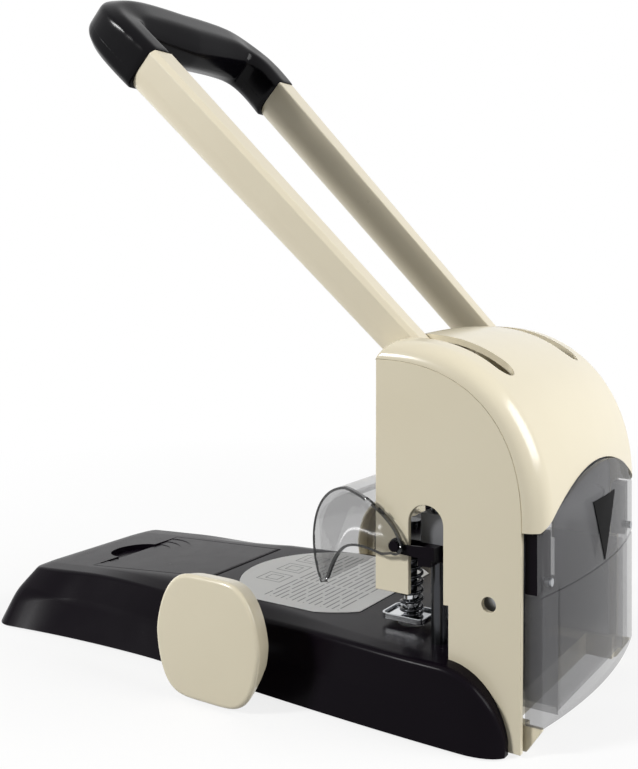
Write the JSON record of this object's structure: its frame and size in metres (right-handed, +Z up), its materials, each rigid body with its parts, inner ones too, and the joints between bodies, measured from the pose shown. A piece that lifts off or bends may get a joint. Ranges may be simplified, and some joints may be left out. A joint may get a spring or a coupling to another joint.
{
  "type": "heavy-duty hole punch",
  "caption": "Heavy-duty paper punch with a long fork lever, smoky guard, chip drawer, storage lid and side stops.",
  "frame": {"origin": "on the desk, midway between the two holes, on the hole line", "axes": "+Z up, -Y towards the user and the storage lid, +Y towards the chip drawer, +X to the user's right"},
  "size_m": [0.22, 0.372, 0.3967],
  "materials": {
    "cream_plastic": "smooth moulded",
    "cream_metal": "satin paint",
    "black_plastic": "semi-gloss moulded",
    "grip_plastic": "semi-gloss moulded",
    "smoky_clear": "clear tinted",
    "grey_plastic": "matt moulded",
    "pale_label": "matt film",
    "rubber": "matt",
    "chrome": "polished",
    "steel": "plain"
  },
  "bodies": {
    "base": {"base_shell": "black_plastic", "bottom_plate": "steel", "rubber_feet": "rubber", "base_screws": "steel", "lid_pin": "steel", "label_plate": "pale_label", "die_block": "steel", "die_bushes": "steel", "back_stop": "steel", "frame_plate_right": "steel", "frame_plate_left": "steel", "guide_posts": "chrome", "side_panel_right": "cream_plastic", "side_panel_left": "cream_plastic", "panel_screws": "steel", "top_cover": "cream_plastic", "lever_shaft": "steel", "shaft_rings": "steel", "drawer_bed": "cream_plastic"},
    "lever": {"arm_right": "cream_metal", "arm_left": "cream_metal", "grip_upper": "grip_plastic", "grip_lower": "grip_plastic"},
    "carrier": {"carrier_bar": "black_plastic", "drive_pin": "steel", "guide_bushes": "grey_plastic", "punch_pin_right": "steel", "punch_pin_left": "steel", "pin_spring_right": "steel", "pin_spring_left": "steel", "guard_screws": "black_plastic"},
    "pressers": {"presser_right": "chrome", "presser_left": "chrome"},
    "guard_body": {"guard": "smoky_clear"},
    "drawer": {"chip_drawer": "smoky_clear", "drawer_grips": "black_plastic", "drawer_studs": "steel", "drawer_arrow": "black_plastic"},
    "stop_right": {"side_stop_right": "cream_plastic", "gauge_rod_right": "chrome"},
    "stop_left": {"side_stop_left": "cream_plastic", "gauge_rod_left": "chrome"},
    "lid": {"storage_lid": "black_plastic"}
  },
  "joints": [
    {"name": "lever", "type": "hinge", "parent": "base", "child": "lever", "pos_m": [0, 0.052, 0.134], "axis": [-1, 0, 0], "range_deg": [-9, 29.5]},
    {"name": "carrier_slide", "type": "slide", "parent": "base", "child": "carrier", "axis": [0, 0, 1], "range_m": [-0.006, 0.0193]},
    {"name": "presser_slide", "type": "slide", "parent": "carrier", "child": "pressers", "axis": [0, 0, 1], "range_m": [-0.0108, 0.0034], "deforming": ["pin_spring_right", "pin_spring_left"]},
    {"name": "guard_tilt", "type": "hinge", "parent": "carrier", "child": "guard_body", "pos_m": [0, 0.011, 0.0894], "axis": [-1, 0, 0], "range_deg": [0, 18]},
    {"name": "drawer_slide", "type": "slide", "parent": "base", "child": "drawer", "axis": [0, 1, 0], "range_m": [0, 0.08]},
    {"name": "stop_right_slide", "type": "slide", "parent": "base", "child": "stop_right", "axis": [1, 0, 0], "range_m": [-0.01, 0.06]},
    {"name": "stop_left_slide", "type": "slide", "parent": "base", "child": "stop_left", "axis": [-1, 0, 0], "range_m": [-0.01, 0.06]},
    {"name": "lid_hinge", "type": "hinge", "parent": "base", "child": "lid", "pos_m": [0, -0.1404, 0.0369], "axis": [-1, 0, 0], "range_deg": [0, 100]}
  ],
  "couplings": [
    {"joint": "carrier_slide", "follows": "lever", "m_per_rad": 0.0372},
    {"joint": "presser_slide", "follows": "lever", "m_per_rad": -0.0207}
  ]
}
